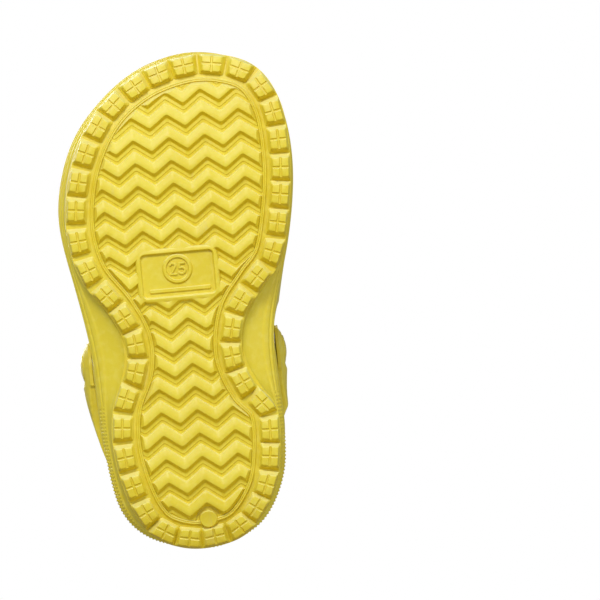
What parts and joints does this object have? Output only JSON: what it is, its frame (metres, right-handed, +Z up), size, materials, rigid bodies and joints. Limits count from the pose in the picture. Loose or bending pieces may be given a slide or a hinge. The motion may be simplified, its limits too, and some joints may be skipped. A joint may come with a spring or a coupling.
{
  "type": "garden clog",
  "caption": "Child's moulded foam garden clog for the right foot, with a lugged chevron tread, vented toe and a swinging heel strap on snap rivets.",
  "frame": {"origin": "middle of the footprint, on the ground under the tread lugs", "axes": "+Z up, toe toward -Y, heel toward +Y, medial (big toe) side toward +X"},
  "size_m": [0.0857, 0.1784, 0.067],
  "materials": {
    "foam_tread": "satin closed-cell foam skin",
    "foam_body": "satin closed-cell foam skin",
    "foam_upper": "satin closed-cell foam skin",
    "foam_strap": "satin closed-cell foam skin",
    "washer_plastic": "matte",
    "rivet_plastic": "smooth moulded"
  },
  "bodies": {
    "clog": {"outsole": "foam_tread", "midsole": "foam_body", "upper_shell": "foam_upper", "lateral_washer": "washer_plastic", "medial_washer": "washer_plastic", "lateral_rivet_post": "rivet_plastic", "medial_rivet_post": "rivet_plastic", "lateral_rivet_socket": "rivet_plastic", "medial_rivet_socket": "rivet_plastic"},
    "strap": {"heel_strap": "foam_strap"}
  },
  "joints": [
    {"name": "strap_pivot", "type": "hinge", "parent": "clog", "child": "strap", "pos_m": [-0.0025, 0.021, 0.0415], "axis": [1, 0, 0], "range_deg": [0, 120]}
  ]
}
